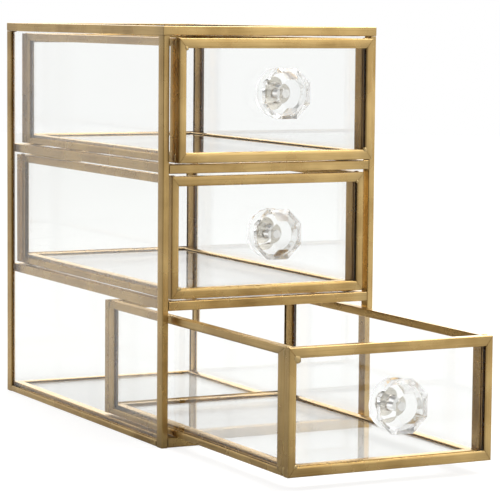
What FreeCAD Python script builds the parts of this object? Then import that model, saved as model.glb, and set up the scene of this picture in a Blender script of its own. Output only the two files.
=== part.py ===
import FreeCAD, Part
import math
import os

# Three-drawer organizer of glass panes in soldered brass channel, in millimetres.
# Frame: X to the right seen from the front, Y to the back, Z up. The origin is the middle of
# the cabinet's front bottom edge, on the surface that the cabinet stands on.

# Brass strip and glass
strip = 0.7               # thickness of the brass strip that every channel is folded from
cement = 0.1              # film of glazing cement on each side of a pane
edge_gap = 0.3            # room between a pane's edge and the bottom of its groove
wall_glass = 1.8          # glass of the cabinet's sides and back
shelf_glass = 3.0         # glass of the top, the shelves and the drawers
floor_glass = 3.5         # glass of the cabinet's floor
bend_radius = 0.45        # outer radius of a fold along a post or a sill
fold_bevel = 0.4          # the same fold on a channel that goes round a pane, as a flat bevel
mitre_gap = 0.2           # hairline between the channel's legs at a folded corner
mitre_start = 0.2         # the cutter for it starts this share of its run before the corner

# Cabinet
cabinet_width = 115.4
cabinet_depth = 200.0
bay_height = 60.7         # clear height between two shelves
bay_count = 3
post_depth = 6.0          # width of a post seen from the side
shelf_leg = 4.8           # width of a shelf channel's legs over the glass
sill_height = 3.1         # height of the channel at the foot of an upright pane
shelf_back_gap = 0.2      # room between a shelf and the back pane

# Drawers
drawer_lift = 0.8         # running clearance between a drawer and the shelf under it
bottom_headroom = 2.7     # room between each drawer and the shelf over it, as the drawers
middle_headroom = 1.3     # were soldered by hand
top_headroom = 1.1
drawer_side_room = 2.0    # room between a drawer and the posts, on each side
drawer_back_room = 1.9    # by how much a drawer is shorter than its bay
stile_width = 3.7         # face width of the uprights of the front and rear frames
rail_width = 4.7          # face height of the rails of the front and rear frames
side_stile_width = 6.4    # width of the uprights of the side frames
side_top_width = 3.8      # height of the side frames' top rails
side_bottom_width = 3.2   # height of the side frames' bottom rails
base_leg = 4.8            # width of the drawer floor's channel over the glass
top_pull = 6.5            # how far the top drawer stands out of the cabinet's front
middle_pull = -1.0        # the middle drawer stands a little behind the front
bottom_pull = 118.1       # the bottom drawer is pulled open

# Knob, its screw and washer
bottom_knob_rise = 0.8    # height of the knob's axis above the middle of each drawer's front,
middle_knob_rise = 0.9    # as the holes were drilled by hand
top_knob_rise = 3.4
flange_radius = 12.0
flange_thickness = 1.6
waist_radius = 8.2
waist_height = 3.6        # from the glass to the narrowest place
girdle_start = 7.5        # from the glass to the widest place
girdle_end = 10.4
girdle_width = 24.2       # across the flats of the eight-sided head
table_width = 13.6        # across the flats of the flat front of the head
knob_height = 15.0
facet_count = 8
screw_radius = 2.0        # M4 screw, drawn without its thread
screw_bite = 4.5          # length of screw inside the knob
hole_clearance = 0.4      # radial room round the screw in the glass
screw_fit = 0.05          # radial room round the screw in the knob and the washer
screw_head_radius = 3.8
screw_head_height = 2.4
screw_head_bevel = 0.9
driver_slot_width = 1.0
driver_slot_depth = 1.1
washer_radius = 5.0
washer_thickness = 0.8

# Tolerance for picking edges, and a whole turn in degrees
touching = 1e-6
full_turn = 360

# Sizes that follow from those above
wall_channel = wall_glass + 2 * cement + 2 * strip
shelf_channel = shelf_glass + 2 * cement + 2 * strip
floor_channel = floor_glass + 2 * cement + 2 * strip
frame_top = floor_channel + bay_count * bay_height + (bay_count - 1) * shelf_channel
inner_half = cabinet_width / 2 - wall_channel
back_pane_front = cabinet_depth - strip - cement - wall_glass
shelf_depth = back_pane_front - shelf_back_gap
pane_foot = strip + edge_gap
drawer_width = 2 * (inner_half - drawer_side_room)
drawer_depth = back_pane_front - drawer_back_room
bottom_drawer_height = bay_height - drawer_lift - bottom_headroom
middle_drawer_height = bay_height - drawer_lift - middle_headroom
top_drawer_height = bay_height - drawer_lift - top_headroom


def box(x0, x1, y0, y1, z0, z1):
    """Box between two corners."""
    size = (x1 - x0, y1 - y0, z1 - z0)
    return Part.makeBox(*size, FreeCAD.Vector(x0, y0, z0))


def polygon_face(corners):
    """Flat face with the given corners."""
    return Part.Face(Part.makePolygon(corners + corners[:1]))


def rounded(solid, radius, wanted):
    """Solid with the edges rounded whose middle and direction pass the test `wanted`."""
    edges = []
    for edge in solid.Edges:
        start, end = edge.Vertexes[0].Point, edge.Vertexes[-1].Point
        if wanted((start + end) * 0.5, (end - start).normalize()):
            edges.append(edge)
    return solid.makeFillet(radius, edges)


def turned(solid, axes):
    """Solid with its X, Y, Z laid along the given directions, such as ("X", "Z", "-Y")."""
    unit = {"X": FreeCAD.Vector(1, 0, 0), "Y": FreeCAD.Vector(0, 1, 0), "Z": FreeCAD.Vector(0, 0, 1)}
    ways = [unit[name[-1]] * (-1 if name[0] == "-" else 1) for name in axes]
    turn = FreeCAD.Placement(FreeCAD.Vector(), FreeCAD.Rotation(*ways, "XYZ"))
    result = solid.copy()
    result.Placement = turn.multiply(result.Placement)
    return result


def folded_frame(length, width, channel, low_leg, high_leg, end_leg):
    """Channel strip folded round a flat pane, lying in XY, centred on X, from Y=0 and Z=0.

    The low leg is along Y=0, the high leg along Y=width, the end legs at both ends of X.
    """
    half = length / 2
    body = box(-half, half, 0, width, 0, channel)
    body = body.makeChamfer(fold_bevel, body.Edges)
    window = box(end_leg - half, half - end_leg, low_leg, width - high_leg, 0, channel)
    groove = box(strip - half, half - strip, strip, width - strip, strip, channel - strip)
    body = body.cut(window).cut(groove)
    for side in (-1, 1):
        inner_x = side * (half - end_leg)
        outer_x = side * (half - strip)
        for inner_y, outer_y in ((low_leg, strip), (width - high_leg, width - strip)):
            body = body.cut(mitre_slit(inner_x, inner_y, outer_x, outer_y, channel))
    return body


def mitre_slit(inner_x, inner_y, outer_x, outer_y, channel):
    """Thin upright cutter from a frame's inner corner to the fold of its strip."""
    run = FreeCAD.Vector(outer_x - inner_x, outer_y - inner_y, 0)
    across = FreeCAD.Vector(-run.y, run.x, 0).normalize() * (mitre_gap / 2)
    inner = FreeCAD.Vector(inner_x, inner_y, 0) - run * mitre_start
    outer = FreeCAD.Vector(outer_x, outer_y, 0)
    corners = [inner + across, outer + across, outer - across, inner - across]
    return polygon_face(corners).extrude(FreeCAD.Vector(0, 0, channel))


def framed_pane(length, width, channel, glass):
    """Glass pane for folded_frame, in the same place."""
    half = length / 2 - pane_foot
    low = strip + cement
    return box(-half, half, pane_foot, width - pane_foot, low, low + glass)


def save(name, solid):
    """Write one piece to its STEP file."""
    solid.exportStep(f"parts/{name}.step")


# Cabinet posts
def front_post(side):
    """U channel with its back open, for the front edge of a side pane. Side is -1 or 1."""
    outer = side * cabinet_width / 2
    inner = side * inner_half
    post = box(min(outer, inner), max(outer, inner), 0, post_depth, 0, frame_top)
    post = rounded(
        post, bend_radius, lambda middle, way: abs(way.z) > touching and middle.y < touching
    )
    groove_outer = outer - side * strip
    groove_inner = inner + side * strip
    groove = box(
        min(groove_outer, groove_inner),
        max(groove_outer, groove_inner),
        strip,
        post_depth,
        0,
        frame_top,
    )
    return post.cut(groove)


def rear_post(side):
    """Post with one groove to the front for a side pane and one inwards for the back pane."""
    outer = side * cabinet_width / 2
    inner = side * inner_half
    front = cabinet_depth - post_depth
    post = box(min(outer, inner), max(outer, inner), front, cabinet_depth, 0, frame_top)
    back = cabinet_depth - touching
    post = rounded(
        post, bend_radius, lambda middle, way: abs(way.z) > touching and middle.y > back
    )
    groove_outer = outer - side * strip
    groove_inner = inner + side * strip
    back_groove = cabinet_depth - wall_channel + strip
    side_slot = box(
        min(groove_outer, groove_inner),
        max(groove_outer, groove_inner),
        front,
        back_groove - strip,
        0,
        frame_top,
    )
    back_slot = box(
        min(groove_outer, inner),
        max(groove_outer, inner),
        back_groove,
        cabinet_depth - strip,
        0,
        frame_top,
    )
    return post.cut(side_slot).cut(back_slot)


# Sills at the foot of the upright panes
def sill(length):
    """U channel with its top open, along X, centred, its back at Y=0."""
    half = length / 2
    body = box(-half, half, -wall_channel, 0, 0, sill_height)
    body = rounded(
        body, bend_radius, lambda middle, way: abs(way.x) > touching and middle.z < touching
    )
    return body.cut(box(-half, half, strip - wall_channel, -strip, strip, sill_height))


def side_sill(side):
    """Sill of a side pane, between the front post and the rear post."""
    length = cabinet_depth - 2 * post_depth
    body = turned(sill(length), ("Y", "-X", "Z"))
    middle = cabinet_depth / 2
    return body.translated(FreeCAD.Vector(inner_half if side > 0 else -cabinet_width / 2, middle, 0))


# Upright glass of the cabinet
def side_pane(side):
    """Side pane, from the front post's groove to the rear post's groove."""
    face = side * (cabinet_width / 2 - strip - cement)
    inner = face - side * wall_glass
    back = cabinet_depth - wall_channel - edge_gap
    return box(min(face, inner), max(face, inner), pane_foot, back, pane_foot, frame_top - edge_gap)


def back_pane():
    """Back pane, between the inward grooves of the rear posts."""
    half = cabinet_width / 2 - pane_foot
    back = back_pane_front + wall_glass
    return box(-half, half, back_pane_front, back, pane_foot, frame_top - edge_gap)


# Horizontal frames of the cabinet
def shelf(length, depth, channel, glass, level):
    """Folded frame and pane of one horizontal level, with its underside at the level."""
    place = FreeCAD.Vector(0, 0, level)
    frame = folded_frame(length, depth, channel, shelf_leg, shelf_leg, shelf_leg)
    pane = framed_pane(length, depth, channel, glass)
    return frame.translated(place), pane.translated(place)


def build_cabinet():
    """Every piece of the cabinet, by name."""
    pieces = {}
    for side, word in ((-1, "left"), (1, "right")):
        pieces[f"front_{word}_post"] = front_post(side)
        pieces[f"rear_{word}_post"] = rear_post(side)
        pieces[f"{word}_sill"] = side_sill(side)
        pieces[f"{word}_side_pane"] = side_pane(side)
    back = FreeCAD.Vector(0, cabinet_depth, 0)
    pieces["back_sill"] = sill(2 * inner_half).translated(back)
    pieces["back_pane"] = back_pane()
    inner_width = 2 * inner_half
    floor_depth = cabinet_depth - wall_channel
    levels = (
        ("floor", inner_width, floor_depth, floor_channel, floor_glass, 0),
        ("lower_shelf", inner_width, shelf_depth, shelf_channel, shelf_glass, shelf_level(1)),
        ("upper_shelf", inner_width, shelf_depth, shelf_channel, shelf_glass, shelf_level(2)),
        ("top", cabinet_width, cabinet_depth, shelf_channel, shelf_glass, frame_top),
    )
    for word, length, depth, channel, glass, level in levels:
        frame, pane = shelf(length, depth, channel, glass, level)
        pieces[f"{word}_frame"] = frame
        pieces[f"{word}_pane"] = pane
    return pieces


def shelf_level(number):
    """Underside of a shelf, counted up from the floor."""
    return floor_channel + number * bay_height + (number - 1) * shelf_channel


# Knob
def facet_ring(across_flats, distance):
    """Corners of the eight-sided head at one distance from the glass, flats up and down."""
    radius = across_flats / 2 / math.cos(math.pi / facet_count)
    corners = []
    for index in range(facet_count):
        angle = 2 * math.pi * (index + 0.5) / facet_count
        corners.append(
            FreeCAD.Vector(radius * math.cos(angle), -distance, radius * math.sin(angle))
        )
    return corners


def cut_head(rings):
    """Solid of flat facets through rings of corners, from the glass outwards."""
    faces = [polygon_face(rings[0]), polygon_face(rings[-1])]
    for near, far in zip(rings, rings[1:]):
        for index in range(facet_count):
            after = (index + 1) % facet_count
            faces.append(polygon_face([near[index], near[after], far[after], far[index]]))
    return Part.Solid(Part.Shell(faces))


def knob():
    """Clear cut knob: round flange on the glass, waist and eight-sided head. Axis along -Y."""
    neck_end = waist_height + flange_thickness
    profile = [
        FreeCAD.Vector(0, 0, 0),
        FreeCAD.Vector(flange_radius, 0, 0),
        FreeCAD.Vector(flange_radius, -flange_thickness, 0),
        FreeCAD.Vector(waist_radius, -waist_height, 0),
        FreeCAD.Vector(waist_radius, -neck_end, 0),
        FreeCAD.Vector(0, -neck_end, 0),
    ]
    axis = FreeCAD.Vector(0, 1, 0)
    foot = polygon_face(profile).revolve(FreeCAD.Vector(0, 0, 0), axis, full_turn)
    head = cut_head(
        [
            facet_ring(2 * waist_radius * math.cos(math.pi / facet_count), waist_height),
            facet_ring(girdle_width, girdle_start),
            facet_ring(girdle_width, girdle_end),
            facet_ring(table_width, knob_height),
        ]
    )
    body = foot.fuse(head).removeSplitter()
    bore_radius = screw_radius + screw_fit
    bore_depth = screw_bite + edge_gap
    seat = FreeCAD.Vector(0, 0, 0)
    return body.cut(Part.makeCylinder(bore_radius, bore_depth, seat, FreeCAD.Vector(0, -1, 0)))


def knob_screw(pane_back):
    """Screw from inside the drawer, with a bevelled slotted head behind the washer."""
    seat = pane_back + washer_thickness
    into_knob = FreeCAD.Vector(0, -1, 0)
    shank = Part.makeCylinder(screw_radius, seat + screw_bite, FreeCAD.Vector(0, seat, 0), into_knob)
    head = Part.makeCylinder(
        screw_head_radius, screw_head_height, FreeCAD.Vector(0, seat, 0), FreeCAD.Vector(0, 1, 0)
    )
    top = seat + screw_head_height
    rim = [edge for edge in head.Edges if abs(edge.CenterOfMass.y - top) < touching]
    head = head.makeChamfer(screw_head_bevel, rim)
    slot = box(
        -screw_head_radius,
        screw_head_radius,
        top - driver_slot_depth,
        top,
        -driver_slot_width / 2,
        driver_slot_width / 2,
    )
    return shank.fuse(head).cut(slot)


def knob_washer(pane_back):
    """Flat washer between the screw's head and the inside of the glass."""
    start = FreeCAD.Vector(0, pane_back, 0)
    way = FreeCAD.Vector(0, 1, 0)
    disc = Part.makeCylinder(washer_radius, washer_thickness, start, way)
    return disc.cut(Part.makeCylinder(screw_radius + screw_fit, washer_thickness, start, way))


# Drawer
def drawer_pieces(height, knob_rise):
    """Every piece of a drawer, by name, with its front plane at Y=0 and its underside at Z=0."""
    pieces = {}
    upright = ("X", "Z", "-Y")
    span = (drawer_width, height, shelf_channel)
    end_frame = turned(folded_frame(*span, rail_width, rail_width, stile_width), upright)
    end_pane = turned(framed_pane(*span, shelf_glass), upright)
    front = FreeCAD.Vector(0, shelf_channel, 0)
    rear = FreeCAD.Vector(0, drawer_depth, 0)
    pieces["front_frame"] = end_frame.translated(front)
    pieces["rear_frame"] = end_frame.translated(rear)
    pieces["rear_pane"] = end_pane.translated(rear)

    knob_place = FreeCAD.Vector(0, 0, height / 2 + knob_rise)
    pane_front = strip + cement
    pane_back = pane_front + shelf_glass
    hole = Part.makeCylinder(
        screw_radius + hole_clearance, shelf_channel, knob_place, FreeCAD.Vector(0, 1, 0)
    )
    pieces["front_pane"] = end_pane.translated(front).cut(hole)
    seat = FreeCAD.Vector(0, pane_front, 0) + knob_place
    pieces["knob"] = knob().translated(seat)
    pieces["knob_screw"] = knob_screw(shelf_glass).translated(seat)
    pieces["knob_washer"] = knob_washer(shelf_glass).translated(seat)

    side_length = drawer_depth - 2 * shelf_channel
    sideways = ("Y", "Z", "X")
    span = (side_length, height, shelf_channel)
    legs = (side_bottom_width, side_top_width, side_stile_width)
    side_frame = turned(folded_frame(*span, *legs), sideways)
    side_glass = turned(framed_pane(*span, shelf_glass), sideways)
    left = FreeCAD.Vector(-drawer_width / 2, drawer_depth / 2, 0)
    right = FreeCAD.Vector(drawer_width / 2 - shelf_channel, drawer_depth / 2, 0)
    for word, place in (("left", left), ("right", right)):
        pieces[f"{word}_frame"] = side_frame.translated(place)
        pieces[f"{word}_pane"] = side_glass.translated(place)

    base_width = drawer_width - 2 * shelf_channel
    place = FreeCAD.Vector(0, shelf_channel, 0)
    base = folded_frame(base_width, side_length, shelf_channel, base_leg, base_leg, base_leg)
    pieces["base_frame"] = base.translated(place)
    pane = framed_pane(base_width, side_length, shelf_channel, shelf_glass)
    pieces["base_pane"] = pane.translated(place)
    return pieces


# Write every piece where it stands in the photographed state
os.makedirs("parts", exist_ok=True)

for piece_name, piece in build_cabinet().items():
    save(piece_name, piece)

middle_floor = shelf_level(1) + shelf_channel
top_floor = shelf_level(2) + shelf_channel
drawers = (
    ("bottom", floor_channel, bottom_pull, bottom_drawer_height, bottom_knob_rise),
    ("middle", middle_floor, middle_pull, middle_drawer_height, middle_knob_rise),
    ("top", top_floor, top_pull, top_drawer_height, top_knob_rise),
)
for drawer_name, floor_top, pull, height, knob_rise in drawers:
    place = FreeCAD.Vector(0, -pull, floor_top + drawer_lift)
    for piece_name, piece in drawer_pieces(height, knob_rise).items():
        save(f"{drawer_name}_drawer_{piece_name}", piece.translated(place))
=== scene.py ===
import math

import bmesh
import bpy
from mathutils import Matrix, Vector, noise


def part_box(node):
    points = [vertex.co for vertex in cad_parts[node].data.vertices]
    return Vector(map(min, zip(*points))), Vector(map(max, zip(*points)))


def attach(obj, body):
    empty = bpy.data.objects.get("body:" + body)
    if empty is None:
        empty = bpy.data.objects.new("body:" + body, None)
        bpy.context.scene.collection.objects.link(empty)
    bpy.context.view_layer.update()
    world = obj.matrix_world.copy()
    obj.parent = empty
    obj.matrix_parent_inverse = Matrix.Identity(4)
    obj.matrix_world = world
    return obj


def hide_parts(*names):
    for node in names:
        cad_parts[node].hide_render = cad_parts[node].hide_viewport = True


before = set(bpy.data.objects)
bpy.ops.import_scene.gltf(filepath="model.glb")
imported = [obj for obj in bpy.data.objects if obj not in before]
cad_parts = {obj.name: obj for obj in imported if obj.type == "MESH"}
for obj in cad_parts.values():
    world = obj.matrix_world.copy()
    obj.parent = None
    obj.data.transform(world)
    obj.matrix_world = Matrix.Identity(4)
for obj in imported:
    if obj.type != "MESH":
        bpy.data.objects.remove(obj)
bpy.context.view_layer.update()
scene = bpy.context.scene

# Floor, shelf and top frames of the cabinet.
# Thin rolled brass strip is bent into a U, then notched and folded round each pane. The mitred
# corners are soldered shut, and heat and handling leave them darker than the runs between.
MM = 0.001
SHELF_LEGS = (4.8 * MM, 4.8 * MM, 4.8 * MM)
STRIP = 0.7 * MM
FOLD = 0.42 * MM
FOLD_STEPS = 4
LIP_EDGE = 0.3 * MM
BOW = 0.07 * MM
BOW_STEPS = 4
SEAM_HALF = 0.13 * MM
SEAM_DEPTH = 0.16 * MM
CORNER_TURN = 0.55 * MM
CORNER_SHARE = 0.4
STATION = 9 * MM
WAVE = 0.035 * MM
WAVE_LENGTH = 17 * MM
JOINT_REACH = 7 * MM
SMOOTH_BELOW = 50


def arc(centre, radius, start, end, steps):
    """Points along part of a circle in the channel's section."""
    points = []
    for step in range(steps + 1):
        angle = math.radians(start + (end - start) * step / steps)
        points.append((centre[0] + radius * math.cos(angle), centre[1] + radius * math.sin(angle)))
    return points


def bowed_face(start, end, level, inwards):
    """Points inside a face that bows out by a hair between its edges."""
    points = []
    for step in range(1, BOW_STEPS):
        share = step / BOW_STEPS
        sink = BOW * (2 * share - 1) ** 2
        points.append((start + (end - start) * share, level + inwards * sink))
    return points


def channel_section(leg, channel):
    """Section of a U channel: distance from its back, and place across its thickness."""
    low, high = BOW, channel - BOW
    lip = leg - LIP_EDGE
    points = arc((FOLD, low + FOLD), FOLD, 270, 180, FOLD_STEPS)
    points += arc((FOLD, high - FOLD), FOLD, 180, 90, FOLD_STEPS)
    points += bowed_face(FOLD, lip, channel, -1)
    points += [(lip, high), (leg, high - LIP_EDGE)]
    points += [(leg, channel - STRIP + LIP_EDGE), (lip, channel - STRIP)]
    points += [(STRIP, channel - STRIP), (STRIP, STRIP)]
    points += [(lip, STRIP), (leg, STRIP - LIP_EDGE), (leg, low + LIP_EDGE), (lip, low)]
    return points + bowed_face(lip, FOLD, 0, 1)


def section_normals(section):
    """Outward direction at each point of a section."""
    normals = []
    count = len(section)
    for index in range(count):
        before = Vector(section[index - 1])
        after = Vector(section[(index + 1) % count])
        way = after - before
        normals.append(Vector((-way.y, way.x)).normalized())
    return normals


def girth_places(section):
    """How far round the section each of its points lies."""
    places = [0.0]
    for point in range(1, len(section)):
        step = Vector(section[point]) - Vector(section[point - 1])
        places.append(places[-1] + step.length)
    return places


def dent(spot):
    """How far the strip's face sinks at a spot."""
    return WAVE * (0.5 + 0.5 * noise.noise(spot / WAVE_LENGTH))


def joint_share(station, run):
    """1 at a joint at either end of a run, falling to 0 where its heat no longer reached."""
    return max(0.0, 1 - min(station, run - station) / JOINT_REACH)


def faces_between(rings, count, closed=False):
    """Faces between rings of points, which are numbered ring by ring."""
    faces = []
    for ring in range(rings if closed else rings - 1):
        here = ring * count
        after = (ring + 1) % rings * count
        for point in range(count):
            beyond = (point + 1) % count
            faces.append((here + point, here + beyond, after + beyond, after + point))
    return faces


def new_piece(name, vertices, faces):
    """Mesh object from points and faces, shaded smooth over folds, with flat faces kept flat."""
    mesh = bpy.data.meshes.new(name)
    mesh.from_pydata([tuple(point) for point in vertices], [], faces)
    mesh.validate()
    work = bmesh.new()
    work.from_mesh(mesh)
    bmesh.ops.recalc_face_normals(work, faces=work.faces)
    work.to_mesh(mesh)
    work.free()
    piece = bpy.data.objects.new(name, mesh)
    scene.collection.objects.link(piece)
    mesh.shade_smooth()
    mesh.set_sharp_from_angle(angle=math.radians(SMOOTH_BELOW))
    shading = piece.modifiers.new("flat faces", "WEIGHTED_NORMAL")
    shading.keep_sharp = True
    return piece


def strip_maps(piece, along, across, joint):
    """Store where each point lies along and across its strip, and how near it is to a joint."""
    mesh = piece.data
    layer = mesh.uv_layers.new(name="Strip")
    for loop in mesh.loops:
        layer.data[loop.index].uv = (along[loop.vertex_index], across[loop.vertex_index])
    mark = mesh.attributes.new("near_joint", "FLOAT", "POINT")
    for index, value in enumerate(joint):
        mark.data[index].value = value


def channel_frame(node, directions, legs):
    """Mesh of one folded frame in the place of its node.

    Directions are along, across and through it. Legs are the channel's widths on the low side, on
    the high side and at both ends.
    """
    low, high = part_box(node)
    along, across, through = (Vector(way) for way in directions)
    size = high - low
    length, width, channel = (abs(size.dot(way)) for way in (along, across, through))
    middle = (low + high) / 2
    origin = middle - (along * length + across * width + through * channel) / 2
    low_leg, high_leg, end_leg = legs
    ways = (along, across, -along, -across)
    corners = (
        origin,
        origin + along * length,
        origin + along * length + across * width,
        origin + across * width,
    )
    sections = [channel_section(leg, channel) for leg in (low_leg, end_leg, high_leg, end_leg)]
    normals = [section_normals(section) for section in sections]
    count = len(sections[0])

    def mitre_ring(index, pull=0.0):
        """Section in the mitre's plane at a corner, pulled into the metal by some depth."""
        before, here = sections[index - 1], sections[index]
        ring = []
        for point in range(count):
            push = normals[index][point] * pull
            spot = corners[index] + ways[index] * (before[point][0] - push.x)
            spot -= ways[index - 1] * (here[point][0] - push.x)
            ring.append(spot + through * (here[point][1] - push.y))
        return ring

    rings, ring_along, ring_joint = [], [], []
    travelled = 0.0
    for index in range(4):
        way = ways[index]
        following = (index + 1) % 4
        start, end = mitre_ring(index), mitre_ring(following)
        run = (corners[following] - corners[index]).length
        rings.append(mitre_ring(index, SEAM_DEPTH))
        ring_along.append(travelled)
        ring_joint.append(1.0)
        steps = max(2, round(run / STATION))
        edge = max(legs) * CORNER_SHARE
        stations = [SEAM_HALF, CORNER_TURN]
        stations += [edge + (run - 2 * edge) * step / steps for step in range(steps + 1)]
        stations += [run - CORNER_TURN, run - SEAM_HALF]
        for station in stations:
            share = (station - SEAM_HALF) / (run - 2 * SEAM_HALF)
            ring = []
            for point in range(count):
                first = start[point] + way * SEAM_HALF
                last = end[point] - way * SEAM_HALF
                ring.append(first.lerp(last, share))
            rings.append(ring)
            ring_along.append(travelled + station)
            ring_joint.append(joint_share(station, run))
        travelled += run

    girth = girth_places(sections[0])
    vertices, along_map, across_map, joint_map = [], [], [], []
    for ring, place, joint in zip(rings, ring_along, ring_joint):
        for point, spot in enumerate(ring):
            to_centre = (middle - spot).dot(through)
            sink = math.copysign(min(dent(spot), abs(to_centre)), to_centre)
            vertices.append(spot + through * sink)
            along_map.append(place)
            across_map.append(girth[point])
            joint_map.append(joint)
    piece = new_piece(node + "_channel", vertices, faces_between(len(rings), count, closed=True))
    strip_maps(piece, along_map, across_map, joint_map)
    return piece


def new_finish(name):
    """New material, its main shader, and its nodes and links."""
    material = bpy.data.materials.new(name)
    material.use_nodes = True
    nodes, links = material.node_tree.nodes, material.node_tree.links
    return material, nodes["Principled BSDF"], nodes, links


def feed(links, socket, value):
    """Set a socket to a number or a colour, or join another socket to it."""
    if isinstance(value, bpy.types.NodeSocket):
        links.new(value, socket)
    elif isinstance(value, tuple):
        socket.default_value = (*value, 1)
    else:
        socket.default_value = value


def mottle(nodes, scale, detail, roughness=0.5):
    """Cloudy texture, finer as its scale rises."""
    texture = nodes.new("ShaderNodeTexNoise")
    texture.inputs["Scale"].default_value = scale
    texture.inputs["Detail"].default_value = detail
    texture.inputs["Roughness"].default_value = roughness
    return texture


def spread(nodes, links, share, limits, span=(0.0, 1.0), eased=False):
    """Number that goes from one limit to the other while a share crosses a span."""
    scale = nodes.new("ShaderNodeMapRange")
    if eased:
        scale.interpolation_type = "SMOOTHSTEP"
    scale.inputs["From Min"].default_value = span[0]
    scale.inputs["From Max"].default_value = span[1]
    scale.inputs["To Min"].default_value = limits[0]
    scale.inputs["To Max"].default_value = limits[1]
    links.new(share, scale.inputs["Value"])
    return scale.outputs["Result"]


def two_tones(nodes, links, share, tones, span=(0.0, 1.0)):
    """Colour that goes from one tone to the other while a share crosses a span."""
    ramp = nodes.new("ShaderNodeValToRGB")
    for stop, place, tone in zip(ramp.color_ramp.elements, span, tones):
        stop.position = place
        stop.color = (*tone, 1)
    links.new(share, ramp.inputs["Fac"])
    return ramp.outputs["Color"]


def tinted(nodes, links, share, first, second, blend="MIX"):
    """Colour between two others, by a share."""
    mix = nodes.new("ShaderNodeMixRGB")
    mix.blend_type = blend
    feed(links, mix.inputs["Fac"], share)
    feed(links, mix.inputs["Color1"], first)
    feed(links, mix.inputs["Color2"], second)
    return mix.outputs["Color"]


def roughen(nodes, links, shader, height, strength, depth):
    """Tilt the surface a little by a texture's height."""
    bump = nodes.new("ShaderNodeBump")
    bump.inputs["Strength"].default_value = strength
    bump.inputs["Distance"].default_value = depth
    links.new(height, bump.inputs["Height"])
    links.new(bump.outputs["Normal"], shader.inputs["Normal"])


GRAIN_STRETCH = (30, 1500, 1)
GRAIN_STRENGTH = 0.12
GRAIN_DEPTH = 0.08 * MM
PATINA_SCALE = 42
PATINA_SPAN = (0.34, 0.66)
BRASS_TONES = ((0.43, 0.285, 0.11), (0.62, 0.44, 0.19))
BRASS_ROUGHNESS = (0.20, 0.34)
ROUGHNESS_SPAN = (0.3, 0.7)
STREAK_TONE = (0.80, 0.78, 0.72)
STREAK_SPAN = (0.45, 0.75)
JOINT_TONE = (0.33, 0.235, 0.105)


def rolled_brass(name):
    """Brass strip with rolled grain along it, cloudy patina, and darker, duller metal at joints."""
    material, shader, nodes, links = new_finish(name)
    shader.inputs["Metallic"].default_value = 1.0

    strip_map = nodes.new("ShaderNodeUVMap")
    strip_map.uv_map = "Strip"
    stretch = nodes.new("ShaderNodeMapping")
    stretch.inputs["Scale"].default_value = GRAIN_STRETCH
    links.new(strip_map.outputs["UV"], stretch.inputs["Vector"])
    rolling = mottle(nodes, scale=1, detail=3)
    links.new(stretch.outputs["Vector"], rolling.inputs["Vector"])
    grain = rolling.outputs["Fac"]

    clouds = mottle(nodes, PATINA_SCALE, detail=4)
    spot = nodes.new("ShaderNodeTexCoord")
    links.new(spot.outputs["Object"], clouds.inputs["Vector"])
    patina = clouds.outputs["Fac"]

    tone = two_tones(nodes, links, patina, BRASS_TONES, PATINA_SPAN)
    streaks = spread(nodes, links, grain, (0.0, 1.0), STREAK_SPAN)
    tone = tinted(nodes, links, streaks, tone, STREAK_TONE, "MULTIPLY")
    joint = nodes.new("ShaderNodeAttribute")
    joint.attribute_name = "near_joint"
    dulled = nodes.new("ShaderNodeMath")
    dulled.operation = "MULTIPLY"
    links.new(joint.outputs["Fac"], dulled.inputs[0])
    links.new(patina, dulled.inputs[1])
    tone = tinted(nodes, links, dulled.outputs["Value"], tone, JOINT_TONE)
    links.new(tone, shader.inputs["Base Color"])

    roughness = spread(nodes, links, patina, BRASS_ROUGHNESS, ROUGHNESS_SPAN)
    links.new(roughness, shader.inputs["Roughness"])
    roughen(nodes, links, shader, grain, GRAIN_STRENGTH, GRAIN_DEPTH)
    return material


BRASS = rolled_brass("rolled_brass")
X, Y, Z = (1, 0, 0), (0, 1, 0), (0, 0, 1)
LEFTWARD, FORWARD = (-1, 0, 0), (0, -1, 0)


def hand_in(piece, node, body, material):
    """Give a piece its material and slot, let it stand for its node and ride with its body."""
    piece.data.materials.append(material)
    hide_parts(node)
    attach(piece, body)


def place_frame(node, body, directions, legs):
    """Build a folded frame in the place of its node and hand it in."""
    hand_in(channel_frame(node, directions, legs), node, body, BRASS)


for level in ("floor", "lower_shelf", "upper_shelf", "top"):
    place_frame(level + "_frame", "cabinet", (X, Y, Z), SHELF_LEGS)

# Posts of the cabinet.
# Straight lengths of the same strip, soldered to the top frame and to the floor frame. The front
# ones are a plain U over the edge of a side pane, the rear ones have a second groove inwards.
POST_DEPTH = 6.0 * MM
WALL_CHANNEL = 3.4 * MM
BACK_GROOVE = 2.0 * MM


def rear_post_section(leg, channel):
    """Section of a rear post: a groove to the front and one inwards behind it."""
    inner = channel - STRIP
    groove_end = STRIP + BACK_GROOVE
    front_groove = groove_end + STRIP
    points = arc((FOLD, FOLD), FOLD, 270, 180, FOLD_STEPS)
    points += arc((FOLD, channel - FOLD), FOLD, 180, 90, FOLD_STEPS)
    points += [(STRIP, channel), (STRIP, STRIP), (groove_end, STRIP), (groove_end, channel)]
    points += [(leg - LIP_EDGE, channel), (leg, channel - LIP_EDGE), (leg, inner)]
    points += [(front_groove, inner), (front_groove, STRIP), (leg, STRIP), (leg, LIP_EDGE)]
    return points + [(leg - LIP_EDGE, 0)]


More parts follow.
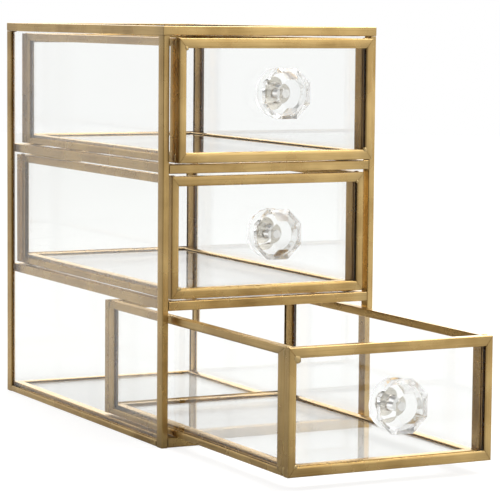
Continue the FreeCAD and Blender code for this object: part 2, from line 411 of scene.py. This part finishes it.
def straight_channel(node, section, directions):
    """Mesh of a straight channel in the place of its node.

    Directions are from the fold to the lips, across the thickness, and along the strip.
    """
    low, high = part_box(node)
    depth_way, through, along = (Vector(way) for way in directions)
    size = high - low
    length = abs(size.dot(along))
    origin = (low + high) / 2
    for way in (depth_way, through, along):
        origin = origin - way * (abs(size.dot(way)) / 2)
    normals = section_normals(section)
    girth = girth_places(section)
    count = len(section)
    steps = max(2, round(length / STATION))
    vertices, along_map, across_map, joint_map = [], [], [], []
    for step in range(steps + 1):
        station = length * step / steps
        for point in range(count):
            spot = origin + along * station
            spot += depth_way * section[point][0] + through * section[point][1]
            if 0 < step < steps:
                spot -= (depth_way * normals[point].x + through * normals[point].y) * dent(spot)
            vertices.append(spot)
            along_map.append(station)
            across_map.append(girth[point])
            joint_map.append(joint_share(station, length))
    ends = [tuple(range(count)), tuple(steps * count + point for point in range(count))]
    piece = new_piece(node + "_strip", vertices, ends + faces_between(steps + 1, count))
    strip_maps(piece, along_map, across_map, joint_map)
    return piece


def place_strip(node, section, directions):
    """Build a straight channel of the cabinet in the place of its node and hand it in."""
    strip = straight_channel(node, section, directions)
    hand_in(strip, node, "cabinet", BRASS)


for side, inwards in (("left", X), ("right", LEFTWARD)):
    section = channel_section(POST_DEPTH, WALL_CHANNEL)
    place_strip(f"front_{side}_post", section, (Y, inwards, Z))
    section = rear_post_section(POST_DEPTH, WALL_CHANNEL)
    place_strip(f"rear_{side}_post", section, (FORWARD, inwards, Z))

# Sills of the cabinet.
# Short U channels of the same strip along the foot of the side panes and of the back pane. They
# are soldered to the floor frame between the posts.
SILL_HEIGHT = 3.1 * MM
for node, across, along in (("left_sill", X, Y), ("right_sill", X, Y), ("back_sill", Y, X)):
    place_strip(node, channel_section(SILL_HEIGHT, WALL_CHANNEL), (Z, across, along))

# Panes of the cabinet and of the drawers.
# Clear window glass, cut to size and slid into the channels before the last corner is soldered.
# It is faintly wavy and has finger marks.
PANE_IOR = 1.3
PANE_TONES = ((0.98106, 0.98303, 0.98106), (0.996, 0.998, 0.996))
MARK_SCALE = 55
MARK_SPAN = (0.3, 0.62)
PANE_WAVE_SCALE = 14
PANE_WAVE_STRENGTH = 0.02
PANE_WAVE = 0.1 * MM
VEIL = (0.93, 0.91, 0.87)


def shader_by(nodes, links, share, without, with_it):
    """One shader, or another where the share is 1."""
    mix = nodes.new("ShaderNodeMixShader")
    links.new(share, mix.inputs["Fac"])
    links.new(without, mix.inputs[1])
    links.new(with_it, mix.inputs[2])
    return mix.outputs["Shader"]


def let_lamps_through(nodes, links, ray, clear, tint):
    """End a clear material so that the lamps shine straight through it."""
    through = nodes.new("ShaderNodeBsdfTransparent")
    links.new(tint, through.inputs["Color"])
    surface = shader_by(nodes, links, ray["Is Shadow Ray"], clear, through.outputs["BSDF"])
    links.new(surface, nodes["Material Output"].inputs["Surface"])


def window_glass(name):
    """Clear glass that lets the lamps, and what polished brass mirrors, through unbent."""
    material, shader, nodes, links = new_finish(name)
    shader.inputs["Transmission Weight"].default_value = 1
    shader.inputs["IOR"].default_value = PANE_IOR
    shader.inputs["Roughness"].default_value = 0
    marks = mottle(nodes, MARK_SCALE, detail=6, roughness=0.7)
    tint = two_tones(nodes, links, marks.outputs["Fac"], PANE_TONES, MARK_SPAN)
    links.new(tint, shader.inputs["Base Color"])
    waves = mottle(nodes, PANE_WAVE_SCALE, detail=1)
    roughen(nodes, links, shader, waves.outputs["Fac"], PANE_WAVE_STRENGTH, PANE_WAVE)

    glass = shader.outputs["BSDF"]
    ray = nodes.new("ShaderNodeLightPath").outputs
    veil = nodes.new("ShaderNodeBsdfTransparent")
    feed(links, veil.inputs["Color"], VEIL)
    sharp = shader_by(nodes, links, ray["Is Singular Ray"], veil.outputs["BSDF"], glass)
    clear = shader_by(nodes, links, ray["Is Glossy Ray"], glass, sharp)
    let_lamps_through(nodes, links, ray, clear, tint)
    return material


PANE = window_glass("window_glass")
for node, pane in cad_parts.items():
    if node.endswith("_pane"):
        pane.data.materials.clear()
        pane.data.materials.append(PANE)

# Frames of the drawers.
# Folded from the same strip. The front and rear frames take the full width, the side frames stand
# between them, the floor's frame lies inside the four, and solder holds them to each other.
DRAWERS = ("bottom", "middle", "top")
END_LEGS = (4.7 * MM, 4.7 * MM, 3.7 * MM)
SIDE_LEGS = (3.2 * MM, 3.8 * MM, 6.4 * MM)
BASE_LEGS = (4.8 * MM, 4.8 * MM, 4.8 * MM)
for drawer in DRAWERS:
    body = drawer + "_drawer"
    for end in ("front", "rear"):
        place_frame(f"{body}_{end}_frame", body, (X, Z, FORWARD), END_LEGS)
    for side in ("left", "right"):
        place_frame(f"{body}_{side}_frame", body, (Y, Z, X), SIDE_LEGS)
    place_frame(f"{body}_base_frame", body, (X, Y, Z), BASE_LEGS)

# Solder.
# Tin solder run into the joints by hand, brushed down and plated over with the brass, so that
# the lumps are a little paler and rougher than the strip.
SOLDER_SCALE = 700
SOLDER_TONES = ((0.40, 0.27, 0.10), (0.62, 0.49, 0.27))
SOLDER_SPAN = (0.38, 0.68)
SOLDER_ROUGHNESS = (0.16, 0.4)
PIT_STRENGTH = 0.5
PIT_DEPTH = 0.1 * MM


def plated_solder(name):
    """Pale, pitted solder with thin brass plating, worn through in spots."""
    material, shader, nodes, links = new_finish(name)
    shader.inputs["Metallic"].default_value = 1.0
    wear = mottle(nodes, SOLDER_SCALE, detail=3).outputs["Fac"]
    tone = two_tones(nodes, links, wear, SOLDER_TONES, SOLDER_SPAN)
    links.new(tone, shader.inputs["Base Color"])
    roughness = spread(nodes, links, wear, SOLDER_ROUGHNESS)
    links.new(roughness, shader.inputs["Roughness"])
    roughen(nodes, links, shader, wear, PIT_STRENGTH, PIT_DEPTH)
    return material


SOLDER = plated_solder("plated_solder")
LUMP_RINGS = 9
LUMP_POINTS = 14
LUMP_BULGE = 0.3
LUMP_UNEVEN = 1.6
SEED_STEP = 3.1
WELD = 0.001 * MM


def solder_lump(name, body, place, reach, seed):
    """Lump of solder round a place, with the given half sizes in mm."""
    vertices = []
    for ring in range(LUMP_RINGS + 1):
        tilt = math.pi * ring / LUMP_RINGS
        for point in range(LUMP_POINTS):
            turn = 2 * math.pi * point / LUMP_POINTS
            round_way = (math.sin(tilt) * math.cos(turn), math.sin(tilt) * math.sin(turn))
            way = Vector((*round_way, math.cos(tilt)))
            bulge = 1 + LUMP_BULGE * noise.noise(way * LUMP_UNEVEN + Vector((seed, 0, 0)))
            size = [way[axis] * reach[axis] * bulge for axis in range(3)]
            vertices.append((Vector(place) + Vector(size)) * MM)
    mesh = bpy.data.meshes.new(name)
    faces = faces_between(LUMP_RINGS + 1, LUMP_POINTS)
    mesh.from_pydata([tuple(point) for point in vertices], [], faces)
    work = bmesh.new()
    work.from_mesh(mesh)
    bmesh.ops.remove_doubles(work, verts=work.verts, dist=WELD)
    bmesh.ops.recalc_face_normals(work, faces=work.faces)
    work.to_mesh(mesh)
    work.free()
    mesh.shade_smooth()
    lump = bpy.data.objects.new(name, mesh)
    scene.collection.objects.link(lump)
    mesh.materials.append(SOLDER)
    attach(lump, body)


def frame_corners(node):
    """Low and high corner of a node in mm."""
    return [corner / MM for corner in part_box(node)]


# Each corner of a drawer has three lumps: in from the side, out past the seam, up from the foot
# or, where negative, down from the top, half sizes, and what sets its shape apart. All in mm.
CORNER_LUMPS = (
    ("top", 1.9, 0.2, -0.35, (1.9, 1.5, 0.7), 0),
    ("side", 0.28, 0, -2.6, (0.6, 0.9, 2.4), 5),
    ("foot", 0.28, 0, 2.4, (0.6, 0.9, 2.2), 9),
)
for drawer in DRAWERS:
    body = drawer + "_drawer"
    low, high = frame_corners(body + "_front_frame")
    rear_low = frame_corners(body + "_rear_frame")[0]
    seams = (("front", high.y, 1), ("rear", rear_low.y, -1))
    for index, (end, seam, inwards) in enumerate(seams):
        for side, edge, sign in (("left", low.x, 1), ("right", high.x, -1)):
            seed = SEED_STEP * index + sign + high.z
            for part, inset, out, rise, reach, change in CORNER_LUMPS:
                level = (high.z if rise < 0 else low.z) + rise
                place = (edge + sign * inset, seam - inwards * out, level)
                name = f"{body}_{end}_{side}_{part}_solder"
                solder_lump(name, body, place, reach, seed + change)

# Where a mitre of a front frame gaped, more solder fills its inner corner.
MITRE_IN, MITRE_UP = 3.1, 4.1
MITRE_BEHIND = 0.3
MITRE_THICK = 0.5
for drawer, side, level, size in (
    ("bottom", "left", "top", 1.9),
    ("bottom", "left", "foot", 1.0),
    ("middle", "left", "foot", 1.2),
    ("middle", "right", "top", 1.0),
    ("top", "left", "top", 1.1),
    ("top", "right", "foot", 1.3),
):
    body = drawer + "_drawer"
    low, high = frame_corners(body + "_front_frame")
    edge, sign = (low.x, 1) if side == "left" else (high.x, -1)
    height, way = (high.z, -1) if level == "top" else (low.z, 1)
    inset, rise = MITRE_IN + size / 2, MITRE_UP + size / 2
    place = (edge + sign * inset, low.y + MITRE_BEHIND, height + way * rise)
    reach = (size, MITRE_THICK, size)
    solder_lump(f"{body}_{side}_{level}_mitre_solder", body, place, reach, height + sign)

# Knobs.
# Moulded from clear acrylic with cut facets. The mould leaves the facet edges slightly round.
# Each is screwed to its front pane from inside the drawer.
KNOB_IOR = 1.49
KNOB_TONES = ((0.93, 0.94, 0.94), (0.99, 0.99, 0.99))
FLOW_SCALE = 160
FLOW_SPAN = (0.3, 0.7)
FLOW_STRENGTH = 0.08
FLOW_DEPTH = 0.1 * MM
KNOB_EDGE = 0.2 * MM
KNOB_STAND_OFF = 0.05 * MM
ONE_FACET_BELOW = 1
FACET_EDGE_ABOVE = 12
SHARP_ABOVE = 30


def clear_acrylic(name):
    """Clear acrylic with faint flow marks."""
    material, shader, nodes, links = new_finish(name)
    shader.inputs["Transmission Weight"].default_value = 1
    shader.inputs["IOR"].default_value = KNOB_IOR
    shader.inputs["Roughness"].default_value = 0
    flow = mottle(nodes, FLOW_SCALE, detail=2).outputs["Fac"]
    tint = two_tones(nodes, links, flow, KNOB_TONES, FLOW_SPAN)
    links.new(tint, shader.inputs["Base Color"])
    roughen(nodes, links, shader, flow, FLOW_STRENGTH, FLOW_DEPTH)
    ray = nodes.new("ShaderNodeLightPath").outputs
    let_lamps_through(nodes, links, ray, shader.outputs["BSDF"], tint)
    return material


KNOB = clear_acrylic("clear_acrylic")


def cut_knob(node):
    """The knob of a node with softened facet edges, a hair off the glass."""
    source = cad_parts[node]
    work = bmesh.new()
    work.from_mesh(source.data)
    work.transform(source.matrix_world)
    bmesh.ops.remove_doubles(work, verts=work.verts, dist=WELD)
    back = max(vertex.co.y for vertex in work.verts) - KNOB_STAND_OFF
    for vertex in work.verts:
        if vertex.co.y > back:
            vertex.co.y = back
    flat = math.radians(ONE_FACET_BELOW)
    bmesh.ops.dissolve_limit(work, angle_limit=flat, verts=work.verts, edges=work.edges)
    mesh = bpy.data.meshes.new(node + "_cut")
    work.to_mesh(mesh)
    work.free()
    piece = bpy.data.objects.new(node + "_cut", mesh)
    scene.collection.objects.link(piece)
    edges = piece.modifiers.new("soft edges", "BEVEL")
    edges.width = KNOB_EDGE
    edges.segments = 2
    edges.limit_method = "ANGLE"
    edges.angle_limit = math.radians(FACET_EDGE_ABOVE)
    edges.harden_normals = True
    mesh.shade_smooth()
    mesh.set_sharp_from_angle(angle=math.radians(SHARP_ABOVE))
    return piece


for drawer in DRAWERS:
    node = drawer + "_drawer_knob"
    hand_in(cut_knob(node), node, drawer + "_drawer", KNOB)

# Screws and washers of the knobs.
# Turned steel, nickel plated, with a dull machined face. The screw goes through the washer and
# the front pane into the knob.
TURNING_SCALE = 900
NICKEL_TONES = ((0.60, 0.59, 0.57), (0.80, 0.79, 0.77))
NICKEL_ROUGHNESS = (0.15, 0.35)


def nickel_plate(name):
    """Nickel plating with fine turning marks."""
    material, shader, nodes, links = new_finish(name)
    shader.inputs["Metallic"].default_value = 1.0
    marks = mottle(nodes, TURNING_SCALE, detail=4).outputs["Fac"]
    links.new(two_tones(nodes, links, marks, NICKEL_TONES), shader.inputs["Base Color"])
    links.new(spread(nodes, links, marks, NICKEL_ROUGHNESS), shader.inputs["Roughness"])
    return material


NICKEL = nickel_plate("nickel_plate")
for node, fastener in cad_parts.items():
    if node.endswith(("_knob_screw", "_knob_washer")):
        fastener.data.materials.clear()
        fastener.data.materials.append(NICKEL)

# Studio.
# White paper sweep under soft lamps. Polished metal mirrors a room that is bright to the right and
# behind and dim in front, and a dark flag overhead draws the facet edges of the knobs.
scene.view_settings.view_transform = "Standard"
scene.cycles.max_bounces = 32
scene.cycles.transmission_bounces = 32
scene.cycles.glossy_bounces = 16
WHITE = (1, 1, 1)
LIGHT_SIDE = (0.75, 0.3, 0.55)
LIGHT_LEVELS = (0.2, 1.0)
LIGHT_SPAN = (-0.75, 0.45)
DIM_TINT = (1, 0.9, 0.74)
BACKDROP_SIDE = (0.45, 0.78, 0.43)
BACKDROP_LEVELS = (0.0, 1.5)
BACKDROP_SPAN = (0.7, 0.95)


def maths(nodes, links, operation, first, second):
    """Math node on two sockets or numbers."""
    node = nodes.new("ShaderNodeMath")
    node.operation = operation
    feed(links, node.inputs[0], first)
    feed(links, node.inputs[1], second)
    return node.outputs["Value"]


def towards(nodes, links, way, side):
    """How nearly a direction points to a side."""
    facing = nodes.new("ShaderNodeVectorMath")
    facing.operation = "DOT_PRODUCT"
    facing.inputs[1].default_value = side
    links.new(way, facing.inputs[0])
    return facing.outputs["Value"]


def room_light(nodes, links, way):
    """Colour and brightness of the room in a direction, as polished metal mirrors it."""
    facing = towards(nodes, links, way, LIGHT_SIDE)
    level = spread(nodes, links, facing, LIGHT_LEVELS, LIGHT_SPAN, eased=True)
    tint = tinted(nodes, links, level, DIM_TINT, WHITE)
    behind = towards(nodes, links, way, BACKDROP_SIDE)
    backdrop = spread(nodes, links, behind, BACKDROP_LEVELS, BACKDROP_SPAN, eased=True)
    return tint, maths(nodes, links, "ADD", level, backdrop)


def ray_shares(nodes, links):
    """1 or 0 for rays that see the paper directly, through glass, in glass and in metal."""
    ray = nodes.new("ShaderNodeLightPath").outputs
    seen, through = ray["Is Camera Ray"], ray["Is Transmission Ray"]
    unseen = maths(nodes, links, "SUBTRACT", 1, maths(nodes, links, "ADD", seen, through))
    mirrored = maths(nodes, links, "MULTIPLY", ray["Is Glossy Ray"], unseen)
    in_glass = maths(nodes, links, "MULTIPLY", mirrored, ray["Is Singular Ray"])
    in_metal = maths(nodes, links, "SUBTRACT", mirrored, in_glass)
    return seen, through, in_glass, in_metal


THROUGH_GLASS = (0.97, 0.975, 0.97)
IN_GLASS = (0.97, 0.97, 0.96)
FLAG_LEVELS = (1.0, 0.3)
FLAG_SPAN = (0.35, 0.5)
world = bpy.data.worlds.new("studio")
scene.world = world
world.use_nodes = True
nodes, links = world.node_tree.nodes, world.node_tree.links
room = nodes["Background"]
way = nodes.new("ShaderNodeTexCoord").outputs["Generated"]
colour, level = room_light(nodes, links, way)
links.new(colour, room.inputs["Color"])
links.new(level, room.inputs["Strength"])
seen, through, in_glass, in_metal = ray_shares(nodes, links)
height = nodes.new("ShaderNodeSeparateXYZ")
links.new(way, height.inputs["Vector"])
flag = spread(nodes, links, height.outputs["Z"], FLAG_LEVELS, FLAG_SPAN)
surface = room.outputs["Background"]
papers = ((in_glass, IN_GLASS, 1), (through, THROUGH_GLASS, flag), (seen, WHITE, 1))
for share, tone, strength in papers:
    paper = nodes.new("ShaderNodeBackground")
    feed(links, paper.inputs["Color"], tone)
    feed(links, paper.inputs["Strength"], strength)
    surface = shader_by(nodes, links, share, surface, paper.outputs["Background"])
links.new(surface, nodes["World Output"].inputs["Surface"])

FLOOR_RADIUS = 3000 * MM
FLOOR_DROP = 0.2 * MM
FLOOR_POINTS = 64
PAPER_TONE = (0.28, 0.28, 0.28)
PAPER_ROUGHNESS = 0.9
PAPER_GLOW = (0.8, 0.8, 0.8)
THROUGH_GLOW = (0.62, 0.63, 0.625)
GLASS_GLOW = (0.45, 0.42, 0.37)
ROOM_ON_PAPER = 0.55
turns = [2 * math.pi * point / FLOOR_POINTS for point in range(FLOOR_POINTS)]
rim = [(FLOOR_RADIUS * math.cos(a), FLOOR_RADIUS * math.sin(a), -FLOOR_DROP) for a in turns]
floor = new_piece("floor", rim, [tuple(range(FLOOR_POINTS))])
paper, shader, nodes, links = new_finish("paper_floor")
paper.cycles.emission_sampling = "NONE"
feed(links, shader.inputs["Base Color"], PAPER_TONE)
shader.inputs["Roughness"].default_value = PAPER_ROUGHNESS
shader.inputs["Specular IOR Level"].default_value = 0.0
seen, through, in_glass, in_metal = ray_shares(nodes, links)
spot = nodes.new("ShaderNodeTexCoord")
away = nodes.new("ShaderNodeVectorMath")
away.operation = "NORMALIZE"
links.new(spot.outputs["Object"], away.inputs[0])
colour, level = room_light(nodes, links, away.outputs["Vector"])
level = maths(nodes, links, "MULTIPLY", level, ROOM_ON_PAPER)
room_share = maths(nodes, links, "MULTIPLY", in_metal, level)
surface = shader.outputs["BSDF"]
glows = (
    (seen, PAPER_GLOW),
    (through, THROUGH_GLOW),
    (in_glass, GLASS_GLOW),
    (room_share, colour),
)
for share, tone in glows:
    glow = nodes.new("ShaderNodeEmission")
    links.new(share, glow.inputs["Strength"])
    feed(links, glow.inputs["Color"], tone)
    both = nodes.new("ShaderNodeAddShader")
    links.new(surface, both.inputs[0])
    links.new(glow.outputs["Emission"], both.inputs[1])
    surface = both.outputs["Shader"]
links.new(surface, nodes["Material Output"].inputs["Surface"])
floor.data.materials.append(paper)

LAMPS_FACE = (0, 0.05, 0.1)


def soft_lamp(name, place, width, power, colour):
    """Large square lamp that faces the middle of the cabinet."""
    lamp = bpy.data.lights.new(name, "AREA")
    lamp.shape = "SQUARE"
    lamp.size = width
    lamp.energy = power
    lamp.color = colour
    holder = bpy.data.objects.new(name, lamp)
    scene.collection.objects.link(holder)
    holder.location = place
    aim = Vector(LAMPS_FACE) - Vector(place)
    holder.rotation_euler = aim.to_track_quat("-Z", "Y").to_euler()


soft_lamp("front_softbox", (1.4, -1.8, 1.1), width=1.8, power=9, colour=(1, 0.98, 0.95))
soft_lamp("side_softbox", (-1.9, 0.6, 1.3), width=1.6, power=7, colour=(0.97, 0.98, 1))
soft_lamp("top_softbox", (0.87, -0.15, 1.7), width=0.9, power=19, colour=WHITE)

# Camera.
# It stands where the photograph was taken from, left of the cabinet and a little above it, with a
# long lens that keeps the uprights nearly parallel.
LENS = 174.49
SENSOR_WIDTH = 36
CAMERA_PLACE = (-0.54332, -1.03417, 0.20739)
YAW, PITCH, ROLL = 27.23, 5.59, 0.50
yaw, pitch, roll = (math.radians(angle) for angle in (YAW, PITCH, ROLL))
level_way = Vector((math.sin(yaw), math.cos(yaw), 0))
forward = level_way * math.cos(pitch) - Vector(Z) * math.sin(pitch)
right = Vector((math.cos(yaw), -math.sin(yaw), 0))
up = right.cross(forward)
turned_right = right * math.cos(roll) + up * math.sin(roll)
turned_up = up * math.cos(roll) - right * math.sin(roll)
camera_data = bpy.data.cameras.new("camera")
camera_data.lens = LENS
camera_data.sensor_width = SENSOR_WIDTH
camera = bpy.data.objects.new("camera", camera_data)
scene.collection.objects.link(camera)
turn = Matrix((turned_right, turned_up, -forward)).transposed().to_4x4()
camera.matrix_world = Matrix.Translation(CAMERA_PLACE) @ turn
scene.camera = camera
